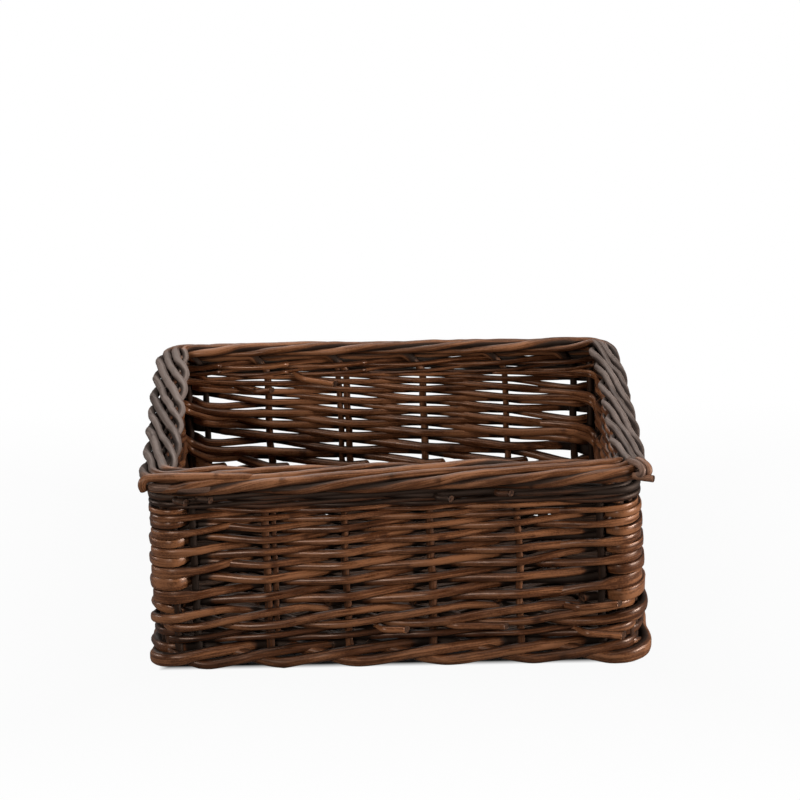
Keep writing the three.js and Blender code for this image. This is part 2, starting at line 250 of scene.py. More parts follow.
def grow(points, outward, radius, tall=1.0, square=0.0, shows=1.0, deep=0.0, painted_sheen=0.0, sides=12,
         step=2.4 * MM, tone=0.5, slants=(0.5, -0.5), crook=0.12):
    """One rod along the points.

    These may change along it: its radius; its section's height against its width (tall); how far the section
    is from round to square; which face shows, the outward one (1), the inward one (-1) or both (0); how much
    painted shade it takes for lying deep; and how much painted grey sheen it takes. The grooves beside the
    face that shows and the underside are darker with painted shade, and so is a rod that lies deep. Crook is
    in mm, and slants say how the two ends are cut.
    """
    along = lengths_along(points)
    rings = max(int(along[-1] / step), 3)
    even = np.linspace(0, along[-1], rings)

    def at_rings(value):
        return np.interp(even, along, np.broadcast_to(value, len(points)))

    centre = np.stack([at_rings(row) for row in points.T], axis=1)
    face = np.stack([at_rings(row) for row in outward.T], axis=1)
    thick, height, facing = map(at_rings, (radius, tall, shows))
    power = 1 - SQUARENESS * at_rings(square)

    tangent = np.gradient(centre, even, axis=0)
    tangent /= np.linalg.norm(tangent, axis=1, keepdims=True)
    across = face - tangent * np.sum(face * tangent, axis=1, keepdims=True)
    across /= np.linalg.norm(across, axis=1, keepdims=True)
    up = np.cross(tangent, across)
    centre = centre + across * (ripple(even, OUT_WAVE) * crook * MM)[:, None]
    centre = centre + up * (ripple(even, UP_WAVE) * crook * MM)[:, None]
    thick = thick * (1 + UNEVEN_THICKNESS * ripple(even, THICKNESS_WAVE))

    mesh = straight_rod(rings, sides)
    flat = np.empty(len(mesh.vertices) * 3)
    mesh.vertices.foreach_get("co", flat)
    unit = flat.reshape(-1, 3)
    ring = np.rint((unit[:, 2] + 0.5) * (rings - 1)).astype(int)
    cos, sin = unit[:, 0], unit[:, 1]

    knot = np.zeros(len(ring))
    for at in np.arange(rng.uniform(0.01, 0.08), along[-1], KNOT_SPACING):
        bud = KNOT_TURN * at / KNOT_SPACING
        beside = (even[ring] - at - rng.uniform(-KNOT_SHIFT, KNOT_SHIFT)) / KNOT_LENGTH
        around = (1 - cos * math.cos(bud) - sin * math.sin(bud)) / KNOT_WIDTH
        knot = np.maximum(knot, np.exp(-beside**2 - around))
    r = thick[ring] * (1 + KNOT_SWELLING * knot)

    # Painted shade: the colour goes darker in the grooves beside the face that shows, on the underside, and
    # on rods that lie deep
    outer_face = cos - 2 * np.clip(-facing[ring], 0, 1)
    inner_face = -cos - 2 * np.clip(facing[ring], 0, 1)
    painted_groove_shade = 1 - eased((np.maximum(outer_face, inner_face) + GROOVE_START) / GROOVE_EASE)
    painted_groove_shade = np.clip(painted_groove_shade + at_rings(deep)[ring] + UNDERSIDE_GROOVE * eased(-sin), 0, 1)

    cos, sin = (np.sign(share) * np.abs(share) ** power[ring] for share in (cos, sin))
    wide, high = 1 / np.sqrt(height[ring]), np.sqrt(height[ring])
    slant = np.where(ring == 0, slants[0], np.where(ring == rings - 1, slants[1], 0.0))
    co = centre[ring] + across[ring] * (r * wide * cos)[:, None] + up[ring] * (r * high * sin)[:, None]
    co += tangent[ring] * (slant * r * cos)[:, None]
    mesh.vertices.foreach_set("co", co.ravel())

    # The place on the rod before it was bent, for the grain and the bark's marks
    straight = np.stack([even[ring] + rng.uniform(0, 50), r * cos, r * sin], axis=1)
    mesh.attributes.new("straight", "FLOAT_VECTOR", "POINT").data.foreach_set("vector", straight.ravel())
    shade = tone + TONE_CHANGE * ripple(even, TONE_WAVE) + rng.uniform(-TONE_RANGE, TONE_RANGE)
    for name, values in (("tone", np.clip(shade, 0, 1)[ring]), ("knot", knot), ("painted_groove_shade", painted_groove_shade),
                         ("painted_sheen", at_rings(painted_sheen)[ring])):
        mesh.attributes.new(name, "FLOAT", "POINT").data.foreach_set("value", values)
    mesh.update()
    return mesh


def add_piece(name, rods, material, slot, *nodes):
    """Joins rods into one piece of the basket, which stands for the named CAD nodes."""
    parts = []
    for mesh in rods:
        part = bpy.data.objects.new(name, mesh)
        bpy.context.scene.collection.objects.link(part)
        mesh.materials.append(material)
        mesh.materials.append(cut_wood)
        parts.append(part)
    if len(parts) > 1:
        with bpy.context.temp_override(active_object=parts[0], object=parts[0], selected_objects=parts,
                                       selected_editable_objects=parts):
            bpy.ops.object.join()
    piece = parts[0]
    piece.name = name
    piece.data.name = name
    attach(piece, "root")
    if nodes:
        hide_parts(*nodes)


# Materials

# Where the ramp of stain and painted shade has its deepest, dark, middle and light colours
STAIN_STOPS = (0.05, 0.42, 0.78, 1.0)
# Greys of the painted sheen: the white behind, as the side borders mirror it
SHEEN_GREYS = ((44, 34, 30), (91, 78, 71), (116, 102, 95))
DEEPEST = 0.3  # of the dark colour

# Scale along and across the rod, and detail, of the marks in the skin
STREAKS, BLOTCHES, SPECKS = ((22, 1100, 1100), 3), ((60, 300, 300), 2), ((900, 1500, 1500), 1)

# How much each mark adds to the ramp; the grooves' painted shade takes away from it
TONE_SHARE, TONE_START = 0.55, -0.26
STREAK_SHARE, BLOTCH_SHARE, SPECK_SHARE = 0.85, 0.45, 0.35
KNOT_SHARE, GROOVE_SHARE = -0.3, -0.7

GROOVE_DULLS, GREY_DULLS = 0.4, 0.15
SMOOTHER, ROUGHER = 0.08, 0.1  # than the mean roughness, by blotches
UNPOLISHED = 0.2
SHEEN_TINT = (1, 0.7, 0.55, 1)
GRAIN_STRENGTH, GRAIN_HEIGHT = 0.5, 0.12 * MM


def linear(*srgb):
    """A colour as it looks on screen, 0 to 255, as the shader wants it."""
    return [((c / 255 + 0.055) / 1.055) ** 2.4 if c > 10 else c / 255 / 12.92 for c in srgb] + [1]


def new_material(name):
    """A material with its nodes, its links and its shader."""
    material = bpy.data.materials.new(name)
    material.use_nodes = True
    nodes = material.node_tree.nodes
    return material, nodes, material.node_tree.links, nodes["Principled BSDF"]


def add_value(nodes, links, operation, *inputs):
    """A maths node on the inputs, which are sockets or numbers."""
    node = nodes.new("ShaderNodeMath")
    node.operation = operation
    for socket, value in zip(node.inputs, inputs):
        if isinstance(value, (int, float)):
            socket.default_value = value
        else:
            links.new(value, socket)
    return node.outputs[0]


def colour_ramp(nodes, links, amount, places, colours):
    """A ramp through linear colours at rising places, from 0 to 1."""
    ramp = nodes.new("ShaderNodeValToRGB")
    stops = ramp.color_ramp.elements
    stops[0].position, stops[0].color = places[0], colours[0]
    stops[-1].position, stops[-1].color = places[-1], colours[-1]
    for place_at, colour in zip(places[1:-1], colours[1:-1]):
        stops.new(place_at).color = colour
    links.new(amount, ramp.inputs["Fac"])
    return ramp.outputs["Color"]


def willow(name, dark, middle, light, roughness, polish=0.4):
    """Stained willow with its bark off: streaks along the rod, blotches, dark knots and a satin skin."""
    material, nodes, links, shader = new_material(name)

    def mark(on_rod):
        node = nodes.new("ShaderNodeAttribute")
        node.attribute_name = on_rod
        return node.outputs["Vector" if on_rod == "straight" else "Fac"]

    # Painted shade in the grooves darkens the ramp, and the painted grey sheen is mixed in over it
    straight, tone, knot, painted_groove_shade, painted_sheen = map(mark, ("straight", "tone", "knot", "painted_groove_shade", "painted_sheen"))

    def noise(scale, detail):
        mapping = nodes.new("ShaderNodeMapping")
        mapping.inputs["Scale"].default_value = scale
        texture = nodes.new("ShaderNodeTexNoise")
        texture.inputs["Scale"].default_value = 1
        texture.inputs["Detail"].default_value = detail
        links.new(straight, mapping.inputs["Vector"])
        links.new(mapping.outputs["Vector"], texture.inputs["Vector"])
        return texture.outputs["Fac"]

    streaks, blotches, specks = noise(*STREAKS), noise(*BLOTCHES), noise(*SPECKS)
    stain_and_shade = add_value(nodes, links, "MULTIPLY_ADD", tone, TONE_SHARE, TONE_START)
    for source, share in ((streaks, STREAK_SHARE), (blotches, BLOTCH_SHARE), (specks, SPECK_SHARE),
                          (knot, KNOT_SHARE), (painted_groove_shade, GROOVE_SHARE)):
        stain_and_shade = add_value(nodes, links, "MULTIPLY_ADD", source, share, stain_and_shade)

    deepest = linear(*(channel * DEEPEST for channel in dark))
    brown, grey = (colour_ramp(nodes, links, stain_and_shade, STAIN_STOPS, [deepest] + [linear(*c) for c in colours])
                   for colours in ((dark, middle, light), SHEEN_GREYS))
    colour = nodes.new("ShaderNodeMix")
    colour.data_type = "RGBA"
    factor, first, second = (colour.inputs[i] for i in (0, 6, 7))  # those that mix colours
    links.new(painted_sheen, factor)
    links.new(brown, first)
    links.new(grey, second)
    links.new(colour.outputs[2], shader.inputs["Base Color"])

    gloss = nodes.new("ShaderNodeMapRange")
    gloss.inputs["From Min"].default_value = 0.3
    gloss.inputs["From Max"].default_value = 0.7
    gloss.inputs["To Min"].default_value = roughness - SMOOTHER
    gloss.inputs["To Max"].default_value = roughness + ROUGHER
    links.new(blotches, gloss.inputs["Value"])
    dull = add_value(nodes, links, "MULTIPLY_ADD", painted_groove_shade, GROOVE_DULLS, gloss.outputs["Result"])
    dull = add_value(nodes, links, "MULTIPLY_ADD", painted_sheen, GREY_DULLS, dull)
    links.new(dull, shader.inputs["Roughness"])
    shader.inputs["Specular IOR Level"].default_value = UNPOLISHED + polish
    shader.inputs["Specular Tint"].default_value = SHEEN_TINT

    bump = nodes.new("ShaderNodeBump")
    bump.inputs["Strength"].default_value = GRAIN_STRENGTH
    bump.inputs["Distance"].default_value = GRAIN_HEIGHT
    links.new(streaks, bump.inputs["Height"])
    links.new(bump.outputs["Normal"], shader.inputs["Normal"])
    return material


def cut_end():
    """The cut across a rod: pale wood gone dark with stain."""
    material, nodes, links, shader = new_material("cut_end")
    straight = nodes.new("ShaderNodeAttribute")
    straight.attribute_name = "straight"
    split = nodes.new("ShaderNodeTexNoise")
    split.inputs["Scale"].default_value = 900
    links.new(straight.outputs["Vector"], split.inputs["Vector"])
    colour = colour_ramp(nodes, links, split.outputs["Fac"], (0.35, 0.75),
                         (linear(38, 24, 18), linear(96, 66, 48)))
    links.new(colour, shader.inputs["Base Color"])
    shader.inputs["Roughness"].default_value = 0.8
    shader.inputs["Specular IOR Level"].default_value = 0.1
    return material


cut_wood = cut_end()
# Dark, middle and light stain, roughness and polish
stake_willow = willow("stake_willow", (30, 14, 6), (90, 53, 30), (134, 88, 58), 0.36, 0.25)
weaver_willow = willow("weaver_willow", (23, 10, 4), (82, 46, 25), (138, 89, 57), 0.3)
wale_willow = willow("wale_willow", (23, 10, 4), (80, 45, 25), (134, 87, 56), 0.3)
foot_willow = willow("foot_willow", (23, 10, 4), (80, 46, 26), (132, 86, 56), 0.32)
# The base's colours are far darker than the other willows', as painted shade inside the basket
base_willow = willow("base_willow", (18, 11, 7), (52, 34, 23), (84, 58, 41), 0.6, 0.0)


# Stakes and rolled border

STAKE_FOOT = 2 * MM
STAKE_OFFSET = -0.2 * MM
STAKE_WAVE, STAKE_WANDER = 90 * MM, 0.01  # the wander in stake spaces
KNEE_BELOW_ROLL = 5 * MM
STRAND_RADIUS = 3.4 * MM
SPACES_PER_TURN = 6.6  # in which a border strand goes once round the roll
STRAND_START, STRAND_END = 0.16, 6.2  # stake spaces past its stake
TIP_SPACES = 1.2  # over which the tip goes into the roll's middle
TIP_INWARD = 0.8
OUTER_EDGE, INNER_EDGE = 1.65, 4.95  # stake spaces to where a strand comes round each edge of the roll
EDGE_SPACES, EDGE_BULGE = 0.5, 0.8 * MM
OFFSET_WAVE, OFFSET_CHANGE = 3.1, 0.5 * MM
RISE_WAVE, RISE_CHANGE = 2.9, 0.6 * MM

CORNER_STAKES = {*LAST_STAKES, *((LAST_STAKES + 1) % STAKES)}  # they stand in the dark inside the corners
# Painted shade on the stakes' uprights: full on the corner stakes, a little on the others
CORNER_PAINTED_SHADE, STAKE_PAINTED_SHADE = 1.0, 0.2
BACK_STRANDS = range(11, 19)  # the stakes whose strands run along the back; their paler tone is painted light on the back rim
BACK_PAINTED_LIGHT_TONE, BORDER_TONE = 0.64, 0.46

# Radius along a strand, by stake spaces past its stake
STRAND_TAPER = ((0, STAKE_RADIUS), (0.6, STRAND_RADIUS), (STRAND_END - 1.5, 3 * MM), (STRAND_END, 1.8 * MM))
# How thick the strands are along the front and back and along the sides, by station
BORDER_THICKNESS = ((0, 1), (5.3, 1), (6.2, 0.77), (12, 0.77), (13, 1), (18.3, 1), (19.2, 0.94), (25, 0.94),
                    (26, 1))
# How much painted grey sheen the strands take, by station: the sides' strands get it in full, for the white
# they mirror from behind
PAINTED_SHEEN = ((0, 0), (5.45, 0), (5.8, 1), (12.2, 1), (12.5, 0), (18.5, 0), (18.8, 1), (25.2, 1), (25.5, 0),
         (26, 0))
# How much wider the roll is on its inside, by station
INWARD_WIDTH = ((0, 1), (18.5, 1), (20, 1.4), (24.7, 1.4), (26, 1))
# The roll thins towards the front's right end: its top's lift in mm, and its share of thickness, by station
ROLL_LIFT = ((0, 0), (2.5, 0), (4, 0.8), (5, 1.8), (5.5, 1.4), (6.2, 0), (25, 0))
ROLL_SHARE = ((0, 1), (2.5, 1), (4, 0.93), (5, 0.78), (5.5, 0.7), (6.2, 1), (25, 1))


def roll_outline():
    """Where the strands' centres go round the roll's section, as offset and height from the roll's centre."""
    edge = ROLL_THICKNESS / 2 - STRAND_RADIUS
    turn = np.linspace(-math.pi / 2, math.pi / 2, CURVE_POINTS)
    x = np.concatenate([[0], ROLL_FLAT + edge * np.cos(turn), -ROLL_FLAT - edge * np.cos(turn), [0]])
    y = np.concatenate([[-edge], edge * np.sin(turn), -edge * np.sin(turn), [-edge]])
    cos, sin = math.cos(ROLL_LEAN), math.sin(ROLL_LEAN)
    return np.stack([x * cos + y * sin, y * cos - x * sin], axis=1)


SECTION = roll_outline()
SECTION_LENGTHS = lengths_along(SECTION)
SECTION_NORMALS = np.gradient(SECTION, SECTION_LENGTHS, axis=0)[:, ::-1].T * np.array([[1], [-1]])


def stake_rod(stake, thickness):
    """A stake from the foot up to the roll and on round it, as one rod."""
    heights = np.arange(STAKE_FOOT, ROLL_CENTRE - ROLL_THICKNESS / 2 - KNEE_BELOW_ROLL, MM)
    wander = ripple(heights, STAKE_WAVE) * STAKE_WANDER
    upright, upright_face = place(stake + wander, STAKE_OFFSET, heights)

    turned = np.arange(STRAND_START, STRAND_END, STATION_STEP)
    round_wall = np.mod(stake + turned, STAKES)
    share = np.mod(turned / SPACES_PER_TURN, 1) * SECTION_LENGTHS[-1]
    inward = 1 - TIP_INWARD * np.clip((turned - (STRAND_END - TIP_SPACES)) / TIP_SPACES, 0, 1)
    offset, rise = (np.interp(share, SECTION_LENGTHS, row) * inward for row in SECTION.T)
    normal = np.stack([np.interp(share, SECTION_LENGTHS, row) for row in SECTION_NORMALS], axis=1)
    bulge = (np.exp(-((turned - OUTER_EDGE) / EDGE_SPACES) ** 2)
             - np.exp(-((turned - INNER_EDGE) / EDGE_SPACES) ** 2))
    offset = np.where(offset < 0, offset * along_table(round_wall, INWARD_WIDTH), offset)
    offset = offset + ripple(turned, OFFSET_WAVE) * OFFSET_CHANGE + bulge * EDGE_BULGE
    rise = rise + ripple(turned, RISE_WAVE) * RISE_CHANGE
    top = ROLL_THICKNESS / 2 - STRAND_RADIUS
    rise = top - (top - rise) * along_table(round_wall, ROLL_SHARE) + along_table(round_wall, ROLL_LIFT) * MM
    rolled, rolled_face = place(stake + turned, offset, ROLL_CENTRE + rise)
    rolled_face = rolled_face * normal[:, :1] + np.array([0, 0, 1]) * normal[:, 1:]

    def whole(on_upright, on_roll):
        """A value along the upright and then along the roll."""
        return np.concatenate([np.broadcast_to(on_upright, len(upright)),
                               np.broadcast_to(on_roll, len(rolled))])

    path = np.concatenate([upright, rolled])
    face = np.concatenate([upright_face, rolled_face])
    thick = whole(np.linspace(STAKE_RADIUS * 1.05, STAKE_RADIUS * 0.95, len(upright)),
                  along_table(turned, STRAND_TAPER) * along_table(round_wall, BORDER_THICKNESS))
    return grow(soften(path), soften(face), thick * thickness, shows=whole(0.0, 1.0),
                deep=whole(CORNER_PAINTED_SHADE if stake in CORNER_STAKES else STAKE_PAINTED_SHADE, 0.0),
                painted_sheen=whole(0.0, along_table(round_wall, PAINTED_SHEEN)), step=2.2 * MM,
                tone=BACK_PAINTED_LIGHT_TONE if stake in BACK_STRANDS else BORDER_TONE, crook=0.2)


for stake in range(STAKES):
    thickness = rng.uniform(1.02, 1.14) if stake % 2 else rng.uniform(0.86, 1.0)
    add_piece(f"stake_{stake + 1:02d}_with_border_strand", [stake_rod(stake, thickness)],
              stake_willow, "stake_willow", f"stake_and_border_strand_{stake + 1:02d}")


# Wall: randing between the wales

# By stake spaces from a weaver's first stake: its height and its radius, in mm
COURSES = ((0, 44.6), (1, 51), (2, 57.2), (3, 63), (4, 68.3), (5, 73.3), (6, 77.9), (7, 82.3), (8, 86.5),
           (9, 90.8), (10, 95.1), (11, 99.3), (12, 103), (13, 106.2), (14, 109), (15, 111.4), (16, 113.6))
WEAVER_RADII = ((0, 3.2), (2, 3.15), (5, 2.85), (9, 2.6), (12, 2.2), (16, 1.5))
WEAVER_SPACES = 16
WEAVER_TALL = 1.1
FULL_BEND = 0.97  # how sharply a weaver bends round a stake, up to 1

# At a corner two courses in six stay inside, and the other four spread over the room, by this many courses.
COURSES_IN_GROUP = 6
CORNER_SPREAD = {0: 0.25, 1: 0.75, 4: -0.75, 5: -0.25}
MISSES_SECOND = 2  # of the two courses that stay inside, the one that misses the corner's second stake
INSIDE_SPREAD = 0.75
SPREAD_EASE = 0.9  # stake spaces over which a course moves to its place at the corner
BAND_COURSES = 1.45  # courses that the flattened rod covers there
WIDEST_BAND = 3  # height of its section against its width
BAND_EASE = 0.25  # stake spaces over which a rod flattens
# The rod dives behind a stake only close to it, and lies outside round the rest of the corner.
DIVE_SPACES = 0.36
DIVE_SHARES = (1.8, 1.65)  # how much of the way out, 2, it has come after that


def face_that_shows(wave):
    """Which face of a rod shows, from how far it swings out. Both do on its way through the wall."""
    return np.sign(wave) * np.clip((np.abs(wave) - 0.5) / 0.4, 0, 1)


def zigzag(passed):
    """A weaver's swing from side to side: straight between the stakes and bent round them."""
    return np.arcsin(-FULL_BEND * np.cos(math.pi * passed)) / math.asin(FULL_BEND)


def weaver_rod(stake):
    """A weaver of the randing. It starts behind its stake and climbs by a course from stake to stake."""
    passed = np.arange(-rng.uniform(0.15, 0.3), WEAVER_SPACES + rng.uniform(0.15, 0.4), STATION_STEP)
    station = stake + passed
    radius = along_table(passed, WEAVER_RADII) * MM * rng.uniform(0.93, 1.06)
    height = smooth_through(passed, COURSES) * MM
    course = np.gradient(height, passed)
    wave = zigzag(passed)
    tall = np.full_like(passed, WEAVER_TALL)
    square = np.zeros_like(passed)
    for corner in (last + rounds for last in LAST_STAKES for rounds in (0, STAKES)):
        group = (corner - stake) % COURSES_IN_GROUP
        past = station - corner
        near = eased((past + 1) / SPREAD_EASE) * eased((2 - past) / SPREAD_EASE)
        if group in CORNER_SPREAD:
            height = height + near * CORNER_SPREAD[group] * course
            on_corner = eased((past + 0.05) / BAND_EASE) * eased((1.05 - past) / BAND_EASE)
            band = np.clip((BAND_COURSES / 2 * course / radius) ** 2, 1, WIDEST_BAND)
            tall = tall + (band - tall) * on_corner
            square = square + on_corner
            from_behind = 1 - past if group % 2 else past
            out = DIVE_SHARES[group % 2]
            dive = (-1 + out * eased(from_behind / DIVE_SPACES)
                    + (2 - out) * eased((from_behind - DIVE_SPACES) / (1 - DIVE_SPACES)))
            wave = np.where((past > 0) & (past < 1), dive, wave)
        else:
            height = height + near * INSIDE_SPREAD * (2 * np.clip(past, 0, 1) - 1) * course
            missed = 1 if group == MISSES_SECOND else 0
            wave = np.where(np.abs(past - missed) < 1, -1.0, wave)
    height = height + settled(station, height)
    points, outward = place(station, (STAKE_RADIUS + radius) * wave, height)
    return grow(points, outward, radius, tall, square, face_that_shows(wave), tone=0.55)


for stake in range(STAKES):
    add_piece(f"weaver_{stake + 1:02d}", [weaver_rod(stake)],
              weaver_willow, "weaver_willow", f"randing_weaver_{stake + 1:02d}")


# Wales: each strand passes in front of two stakes and behind the third

WALE_STRANDS = 3
WALE_OVERLAP = 0.25  # stake spaces that a rod runs on behind the next one
WALE_TAPER = (1.06, 0.9)
WALE_WAVE, WALE_CHANGE = 9, 0.25 * MM
CORNER_TALL, CORNER_SQUARE = 0.3, 0.8  # how far a wale's rods flatten round a corner

# How much of the shade under the border falls on each wall, by station
SHADE_ROUND = ((0, 1), (5.5, 1), (7, 0.4), (12, 0.4), (13, 0), (18, 0), (19, 0.4), (24.5, 0.4), (26, 1))

# Stations, over three rounds, at which the rods of a wale are cut
ALL_ROUND = (2, 17, 32, 44, 56, 68, 80)

# How a strand turns over three stake spaces: the place, the offset in swings, and the height in mm
UPSETT_TURNS = ((0, 0, 29.8), (0.5, 0.95, 31), (1, 1.05, 35.5), (1.5, 0.95, 39.8), (2, 0, 41),
                (2.5, -1, 35.5))
FOOT_TURNS = ((0, 0, 11), (0.6, 1, 4.85), (1, 1.08, 7.2), (1.5, 1, 11.8), (2, 0, 13.4), (2.5, -1, 13.8))
INNER_TURNS = ((0, -0.1, 20.6), (0.5, 0.9, 23), (1, 0.1, 25.2), (1.5, -1, 26.6), (2, -0.9, 22.5),
               (2.5, -1, 18.4))
TOP_TURNS = ((0, 0, 114.3), (0.5, 1, 114.6), (1, 1, 116), (1.5, 1, 117.6), (2, 0, 118), (2.5, -1, 116))
UNDER_BORDER_TURNS = [(at, swing * 0.8, height + 5.4) for at, swing, height in TOP_TURNS]


def round_corner(station):
    """How far a station is round a corner: 1 halfway between the stakes beside it, and 0 along the sides."""
    station = np.mod(station, STAKES)
    return eased(np.max([1 - np.abs(station - last - 0.5) / 0.5 for last in LAST_STAKES], axis=0))


def wale_rods(radius, turns, sides, step, tone, spread=0.05, deep=0.0):
    """The rods of a wale, each from one cut to the next. None lies lower than it can rest on the ground."""
    rods = []
    for start, end in zip(ALL_ROUND[:-1], ALL_ROUND[1:]):
        run = np.arange(start - WALE_OVERLAP, end + WALE_OVERLAP, STATION_STEP)
        phase = run + 0.5  # a turn starts halfway between two stakes
        size = radius * rng.uniform(1 - spread, 1 + spread) * np.linspace(*WALE_TAPER, len(run))
        swings = smooth_through(phase, [(at, swing) for at, swing, height in turns], WALE_STRANDS)
        height = smooth_through(phase, [(at, height) for at, swing, height in turns], WALE_STRANDS) * MM
        height = height + settled(run, height) + ripple(run, WALE_WAVE) * WALE_CHANGE
        bend = round_corner(run)
        tall = 1 + CORNER_TALL * bend
        resting = (1 + UNEVEN_THICKNESS) * size * np.sqrt(tall)
        points, outward = place(run, swings * (STAKE_RADIUS + size), np.maximum(height, resting))
        # painted shade from the border above, as much as each wall takes
        shade = deep * along_table(np.mod(run, STAKES), SHADE_ROUND)
        rods.append(grow(points, outward, size, tall, CORNER_SQUARE * bend, face_that_shows(swings), shade,
                         sides=sides, step=step, tone=tone))
    return rods


add_piece("upsett_wale_rods", wale_rods(3.15 * MM, UPSETT_TURNS, 12, 2.4 * MM, 0.5),
          wale_willow, "wale_willow", "upsett_wale")
add_piece("foot_wale_rods", wale_rods(3.9 * MM, FOOT_TURNS, 14, 2.4 * MM, 0.45, 0.08),
          foot_willow, "foot_willow", "foot_wale")
# Thinner rods that close the wall below the upsett, mostly on the stakes' inside, and two thin top wales
add_piece("inner_wale_rods", wale_rods(2.5 * MM, INNER_TURNS, 10, 2.6 * MM, 0.4, deep=0.1),
          wale_willow, "wale_willow")
# The top wales, and most of all the rods under the border, take painted shade from the border above
add_piece("top_wale_rods", wale_rods(1.6 * MM, TOP_TURNS, 8, 2.8 * MM, 0.5, deep=0.5),
          weaver_willow, "weaver_willow")
add_piece("wale_rods_under_the_border", wale_rods(2.2 * MM, UNDER_BORDER_TURNS, 8, 2.8 * MM, 0.5, deep=0.75),
          weaver_willow, "weaver_willow")


# Stakes set in beside others, and the rods inside the corners

UPRIGHT_TOP = 122  # under the border, in mm
UPRIGHT_WAVE = 100 * MM


def upright_rod(station, low, offset, radius, wander, **look):
    """A rod that stands in the wall, up to the border. Heights and sizes are in mm."""
    heights = np.arange(low, UPRIGHT_TOP) * MM
    points, outward = place(station + ripple(heights, UPRIGHT_WAVE) * wander, offset * MM, heights)
    return grow(points, outward, radius * MM, shows=0.0, **look)


# The stakes set beside take a little painted shade, and the posts inside the corners more
add_piece("stakes_set_beside",
          [upright_rod(station, 20, -0.3, radius, 0.008, deep=0.15, sides=10, tone=0.45)
           for station, radius in ((1.105, 2.0), (16.1, 2.2))], stake_willow, "stake_willow")
add_piece("corner_posts",
          [upright_rod(last + beside, 2, -0.5, 2.7, 0.01, deep=0.5, tone=0.4)
           for last in LAST_STAKES for beside in (0.32, 0.5, 0.68)], stake_willow, "stake_willow")


# Cut butts that stick out of the wall, and the ends of border strands

# First and last station, first and last height and radius in mm, how much painted shade, and side of the wall
BUTTS = ((25.7, 25.92, 121, 119, 2.5, 0.6), (26.05, 26.27, 122, 120.5, 2.4, 0.6),
         (3.03, 3.25, 120, 118.5, 2.3, 0.6), (3.72, 3.93, 122, 121.5, 2.2, 0.6),
         (2.3, 2.68, 28, 27, 2.5), (3.0, 3.83, 29.5, 28.5, 2.4),
         (4.45, 5.27, 40.5, 43, 2.3), (4.6, 5.3, 23.5, 20.5, 2.5),
         (16.7, 16.15, 114, 108, 2.4, 0, -1), (17.3, 16.95, 103, 104.5, 2.1, 0, -1))
BUTT_BEHIND, BUTT_OUT = -2, 10.5  # where a butt starts, and how far it comes out, in mm
BUTT_EMERGES = 0.35  # of its length

# Radius, how much painted grey sheen, and the places along the strand, all in mm
BORDER_ENDS = (
    (3.0, 0.0, (-82, -152, 129), (-98, -159, 134.5), (-125, -161.5, 136), (-156, -162.5, 136.6),
     (-165, -163, 136), (-167.3, -163.5, 132), (-165.5, -160, 126.5)),
    (2.8, 0.5, (-165, -150, 130), (-160, -163, 130), (-140, -165.5, 129), (-118, -163, 127.5),
     (-104, -154, 127)),
    (2.4, 0.25, (146, -150, 131), (155, -158, 131.5), (163, -164.5, 131.5), (171.5, -166, 130.5)),
    (2.6, 0.6, (153, -142, 132), (156, -150, 138.5), (160.5, -158, 139.3), (163.7, -164.5, 138),
     (163.7, -166.5, 134.5), (160, -160, 131)),
    (2.5, 0.3, (160, -140, 132), (161.5, -148, 138.5), (165, -156, 139), (168, -162, 137.5),
     (168.2, -164.2, 134), (163, -157, 131)),
)


def butt_rod(start, end, start_height, end_height, radius, deep=0.0, side=1):
    """The thick end of a rod, which comes out between two others on one side of the wall and is cut off."""
    run = np.linspace(0, 1, 40)
    offset = side * (BUTT_BEHIND + BUTT_OUT * eased(run / BUTT_EMERGES))
    height = start_height + (end_height - start_height) * run
    points, outward = place(start + (end - start) * run, offset * MM, height * MM)
    return grow(points, outward, radius * MM, shows=side, deep=deep, step=1.2 * MM, tone=0.75,
                slants=(0.3 * side, -0.9 * side))


def border_end(radius, painted_sheen, *places):
    """The end of a border strand, tucked in at a corner."""
    corners = np.array(places) * MM
    along = lengths_along(corners)
    path = np.stack([np.interp(np.arange(0, along[-1], 0.5 * MM), along, row) for row in corners.T], axis=1)
    outward = np.tile([0.0, -1.0, 0.3], (len(path), 1))
    return grow(soften(path), outward, radius * MM, painted_sheen=painted_sheen, step=1.4 * MM, tone=0.65, slants=(0.2, -0.3))


add_piece("cut_butts", [butt_rod(*butt) for butt in BUTTS], weaver_willow, "weaver_willow")
add_piece("border_ends", [border_end(*end) for end in BORDER_ENDS], stake_willow, "stake_willow")


# Base: sticks from front to back, and rods woven over and under them

STICKS = 5
STICK_PITCH = 2 * (HALF_WIDTH - CORNER_INSET) / (SIDE_STAKES[0] - 1)
STICK_PLACES = (np.arange(STICKS) - (STICKS - 1) / 2) * STICK_PITCH
STICK_RADIUS = 3.9 * MM
STICK_INSET = 7 * MM
BASE_HEIGHT = 19.9 * MM
BASE_ROWS = 30
RODS_IN_ROW = 3
WEAVE_HALF_WIDTH = HALF_WIDTH - 2.75 * MM
WEAVE_HALF_DEPTH = HALF_DEPTH - 6.25 * MM
ROW_PITCH = 2 * WEAVE_HALF_DEPTH / BASE_ROWS
BASE_ROD_RADIUS = 1.6 * MM
BASE_ROD_PITCH = 2.04 * BASE_ROD_RADIUS
BASE_RISE = STICK_RADIUS + BASE_ROD_RADIUS
RISE_WIDTH = 0.27 * STICK_PITCH


def base_part(path, radius, **look):
    """A rod of the base, from its path about the base's middle height."""
    path = path + np.array([lean_of(BASE_HEIGHT), 0, BASE_HEIGHT])
    return grow(path, np.tile([0.0, 0.0, 1.0], (len(path), 1)), radius, step=4 * MM, **look)


